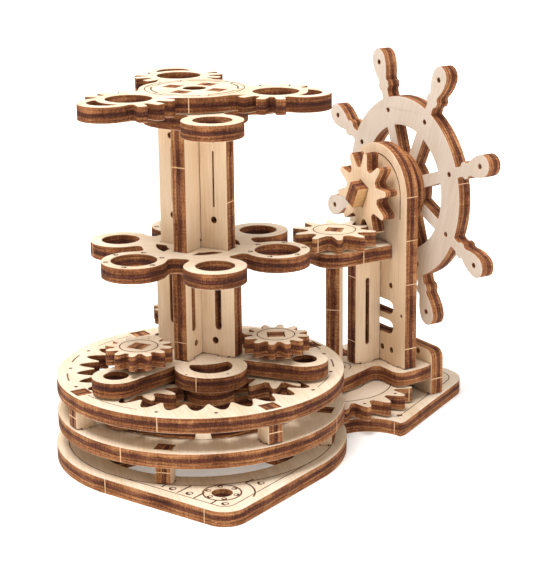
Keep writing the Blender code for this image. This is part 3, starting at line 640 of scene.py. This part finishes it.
def engrave_rosette():
    """Six bolts round every other holder of the middle tier."""
    rosette = on_top("middle_rosette", CAROUSEL_HEADING)
    for turn in (60, 180, 300):
        centre = polar(21.2, turn)
        for i in range(6):
            rosette.bolt(polar(7.05, turn + 30 + 60 * i, centre), 0.52, turn + 60 * i + 120)
    rosette.finish()


def engrave_top():
    """A ring with six long bays inside it."""
    outer, inner, strut_line = 12.5, 10.9, 0.14
    top = on_top("top_plate", CAROUSEL_HEADING)
    top.ring((0, 0), outer, 0.12)
    for turn in range(0, 360, 60):
        top.line(arc((0, 0), inner, turn + 8, turn + 52), 0.2)
        top.line([polar(inner, turn + 8), polar(outer, turn + 4)], strut_line)
        top.line([polar(inner, turn + 52), polar(outer, turn + 56)], strut_line)
    top.finish()


def engrave_carrier():
    carrier = on_top("upper_carrier", CAROUSEL_HEADING)
    for turn in (0, 120, 240):
        carrier.dot(polar(19.6, turn - 22), 0.3)
        carrier.dot(polar(20.6, turn + 8), 0.3)
    carrier.finish()


def engrave_gears():
    """A ring on each of the gears that lie level, and dots on the drive gear's teeth."""
    gear_line = 0.14
    for number in (1, 2, 3):
        node = f"upper_gear_{number}"
        centre = middle(node)
        gear = on_top(node, centre=(centre.x, centre.y))
        gear.ring((0, 0), 4.85, gear_line)
        gear.finish()
    centre = middle("drive_shaft")
    crown = on_top("crown_gear", centre=(centre.x, centre.y))
    crown.ring((0, 0), 5.8, gear_line)
    crown.finish()
    drive = on_top("drive_gear", centre=(centre.x, centre.y))
    drive.ring((0, 0), 15.8, gear_line)
    for i in range(10):
        drive.dot(polar(19.0, -75.7 + 36 * i), 0.45)
    drive.ring((0, 0), 8.4, 0.1)
    drive.finish()


def engrave_tower():
    """Outline just inside the arch's edge, on the side that faces the column."""
    out = heading_vector(TOWER_HEADING)
    face = span("arch_plate", out)[0]
    left = heading_vector(TOWER_HEADING + 90)
    axis = middle("wheel_axle")
    origin = out * face + left * axis.dot(left) + UP * axis.z
    radius, down, line = 10.6, 6.0, 0.12
    arch = Engraver("arch_plate", origin, left, UP)
    arch.line([(-radius, -down)] + arc((0, 0), radius, 180, 84), line)
    arch.line([(radius, -down)] + arc((0, 0), radius, 0, 62), line)
    arch.finish()


# ---------------------------------------------------------------- cut marks

# Reach and heading from the column of each place where a level piece was held.
LEVEL_MARKS = {
    "base_plate": ((40, 224.0), (50, 262.7), (52, 359.0), (40, 120.0), (40, 175.0), (46, 40.0), (85, 21.0)),
    "middle_plate": ((38, 231.2), (38, 329.8), (38, 150.0), (38, 75.0)),
    "ring_gear_plate": ((38, 246.7), (38, 20.0), (38, 160.0), (38, 96.0)),
    "upper_carrier": ((24, 257.5), (24, 35.0), (24, 155.0), (36, 94.0)),
    "top_plate": ((15, 257.4), (36, 95.0), (16, 20.0), (16, 140.0)),
    "lower_top_plate": ((30, 35.0), (30, 155.0)),
    "middle_rosette": ((31, 100.0), (31, 170.0)),
}
WHEEL_MARKS = ((12, 26), (130, 26), (215, 26), (285, 26), (200, 39))  # angle and reach from the hub


def side_tree(node, normal):
    """The walls of a piece, for finding the nearest one to a point."""
    data = frame["nodes"][node].data
    walls = [list(face.vertices) for face in data.polygons if abs(face.normal.dot(normal)) < 0.1]
    return BVHTree.FromPolygons([vertex.co.copy() for vertex in data.vertices], walls)


def stub(mesh, centre, outwards, across, along, half_width, half_height):
    """A small block on a wall, rooted in it."""
    corners = []
    for level in (-1, 1):
        for x, y in ((-1, -STUB_ROOT), (1, -STUB_ROOT), (1, STUB_PROUD), (-1, STUB_PROUD)):
            offset = along * (x * half_width) + outwards * y + across * (level * half_height)
            corners.append(mesh.verts.new(centre + offset * MM))
    for face in ((0, 1, 2, 3), (7, 6, 5, 4), (0, 4, 5, 1), (1, 5, 6, 2), (2, 6, 7, 3), (3, 7, 4, 0)):
        mesh.faces.new([corners[i] for i in face])


def cut_marks(node, places, normal):
    """Pale stubs on the walls of a piece, each on the wall nearest to the place given."""
    tree = side_tree(node, normal)
    low, high = span(node, normal)
    mesh = bmesh.new()
    for i, place in enumerate(places):
        target = Vector(place) * MM
        target += normal * ((low + high) / 2 * MM - target.dot(normal))
        location, outwards, _, _ = tree.find_nearest(target)
        location += normal * ((low + high) / 2 * MM - location.dot(normal))
        along = normal.cross(outwards).normalized()
        half_width = 0.13 + 0.03 * sin(5.1 * i)
        stub(mesh, location, outwards, normal, along, half_width, (high - low) / 2 - STUB_SHORT)
    add_piece(mesh, f"cut_marks_{node}", node, TAB)


def mark_level(node, marks, centre=Vector((0.0, 0.0, 0.0))):
    """Marks on a piece that lies level, each near a (reach, heading) about a centre."""
    cut_marks(node, [centre + heading_vector(heading) * reach for reach, heading in marks], UP)


def at_height(place, height):
    return Vector((place.x, place.y, height))


def mark_level_pieces():
    """Where each level piece was held in its sheet."""
    for node, marks in LEVEL_MARKS.items():
        mark_level(node, marks)
    shaft = middle("drive_shaft")
    mark_level("crown_gear", ((12, 248), (12, 40), (12, 130)), shaft)
    mark_level("drive_gear", ((23, 330), (23, 80)), shaft)
    cut_marks("shelf_plate", [(*in_tower(49.0, 8.0), 0.0), (*in_tower(49.0, -14.0), 0.0)], UP)
    for number in (1, 2, 3):
        node = f"upper_gear_{number}"
        mark_level(node, ((9, 60), (9, 160)), middle(node))


def mark_tower():
    """Where the tower's boards, the wheel and its pinion were held in their sheets."""
    out, right = heading_vector(TOWER_HEADING), heading_vector(TOWER_HEADING - 90)
    arch = middle("arch_plate")
    edge = [at_height(arch + right * side, z) for side in (14, -14) for z in (62.1, 50.0, 37.6, 19.2)]
    cut_marks("arch_plate", edge + [at_height(arch, 77.0)], out)
    web = middle("web_plate")
    cut_marks("web_plate", [at_height(web - out * 6, z) for z in (38.4, 19.8)], right)
    foot = middle("foot_plate")
    cut_marks("foot_plate", [foot + right * 14, foot - right * 14], out)
    hub = middle("steering_wheel")
    rim = [hub + wheel_vector(angle) * reach for angle, reach in WHEEL_MARKS]
    cut_marks("steering_wheel", rim, out)
    pinion = middle("wheel_pinion")
    cut_marks("wheel_pinion", [pinion + wheel_vector(angle) * 12 for angle in (150, 300)], out)


def mark_column():
    """Where the column's blades were held: how far out, and how high."""
    blade_marks = {
        "column_blade_a": ((12, 68.0), (-12, 77.0), (-13, 31.5)),
        "column_blade_b": ((12, 77.5), (13, 32.1), (-12, 66.0)),
    }
    for node, marks in blade_marks.items():
        along = heading_vector(BLADES[node])
        places = [along * reach + UP * z for reach, z in marks]
        cut_marks(node, places, heading_vector(BLADES[node] + 90))


def mark_shaft():
    side = middle("drive_shaft") + heading_vector(246) * 3
    cut_marks("drive_shaft", [at_height(side, z) for z in (30.3, 12.0)], heading_vector(SHAFT_ACROSS))


def mark_spacers():
    """One mark on the outer end of every spacer of the base."""
    for node in sorted(BODY_OF):
        if "_spacer_" in node:
            heading = heading_to(node)
            cut_marks(node, [middle(node) + heading_vector(heading) * 4], heading_vector(heading + 90))


# ------------------------------------------------------------------- studio


def make_camera():
    """A long lens in front of the pointed corner, looking a little down."""
    data = bpy.data.cameras.new("camera")
    data.lens, data.sensor_width = 104.4, 36.0
    data.clip_start, data.clip_end = 0.01, 20.0
    camera = bpy.data.objects.new("camera", data)
    bpy.context.scene.collection.objects.link(camera)
    place = Vector((-45.62, -406.70, 163.9))
    heading, dip, roll = 81.153, radians(16.2187), radians(-0.62195)
    forward = heading_vector(heading) * cos(dip) - UP * sin(dip)
    right = heading_vector(heading - 90)
    above = right.cross(forward)
    level_right = right * cos(roll) + above * sin(roll)
    level_above = above * cos(roll) - right * sin(roll)
    turn = Matrix((level_right, level_above, -forward)).transposed().to_4x4()
    camera.matrix_world = Matrix.Translation(place * MM) @ turn
    bpy.context.scene.camera = camera


def make_floor():
    """A wide pale floor that glows more with distance, so that it runs into the background; its faint warm
    glow near the piece is painted light that lifts the shadow under and round it.
    """
    bpy.ops.mesh.primitive_plane_add(size=12.0, location=(0.0, 0.0, -0.02 * MM))
    floor = bpy.context.object
    floor.name = "floor"
    graph = Graph("pale_floor_painted_glow")
    point = graph.position()
    x, y = (graph.along(point, axis) for axis in ((1, 0, 0), (0, 1, 0)))
    haze = graph.noise(graph.scaled(x, 0.004), graph.scaled(y, 0.004), 0.0, 2.0)
    colour = graph.ramp(haze, [(0.3, (0.90, 0.895, 0.885, 1.0)), (0.7, (0.92, 0.915, 0.905, 1.0))])
    graph.feed(graph.shader.inputs["Base Color"], colour)
    reach = graph.node("ShaderNodeVectorMath", operation="LENGTH")
    graph.feed(reach.inputs[0], graph.combine(x, y, 0.0))
    # Painted light: the floor glows, faint near the piece to lighten the shade under it, brighter further
    # out.
    painted_floor_glow = graph.smooth(reach.outputs["Value"], 60.0, 420.0, 0.24, 0.55)
    graph.feed(graph.shader.inputs["Emission Strength"], painted_floor_glow)
    # The glow's warm tint is painted bounce light off the wood.
    graph.shader.inputs["Emission Color"].default_value = (1.0, 0.97, 0.94, 1.0)
    graph.shader.inputs["Roughness"].default_value = 0.9
    graph.shader.inputs["Specular IOR Level"].default_value = 0.1
    floor.data.materials.append(graph.material)


def area_light(name, place, target, size, power, colour=(1.0, 1.0, 1.0)):
    data = bpy.data.lights.new(name, "AREA")
    data.shape = "DISK"
    data.size = size
    data.energy = power
    data.color = colour
    light = bpy.data.objects.new(name, data)
    bpy.context.scene.collection.objects.link(light)
    light.location = place
    light.rotation_euler = (Vector(target) - Vector(place)).to_track_quat("-Z", "Y").to_euler()


def make_lights():
    centre = (0.02, 0.0, 0.045)
    area_light("key", (-0.30, -0.22, 1.10), centre, 0.6, 15.5, (1.0, 0.985, 0.965))
    area_light("fill", (0.75, -0.95, 0.6), centre, 0.9, 3.4)
    area_light("top", (0.1, 0.35, 1.1), centre, 0.9, 5.5)
    world = bpy.data.worlds.new("studio")
    world.use_nodes = True
    background = world.node_tree.nodes["Background"]
    background.inputs["Color"].default_value = (1.0, 0.995, 0.985, 1.0)
    background.inputs["Strength"].default_value = 0.39
    bpy.context.scene.world = world


BURNT = burnt_line_material()
TAB = bare_tab_material()

make_camera()
dress_frame()
engrave_base()
engrave_middle()
engrave_ring()
engrave_rosette()
engrave_top()
engrave_carrier()
engrave_gears()
engrave_tower()
mark_level_pieces()
mark_tower()
mark_column()
mark_shaft()
mark_spacers()
make_floor()
make_lights()
bpy.context.scene.view_settings.view_transform = "Standard"
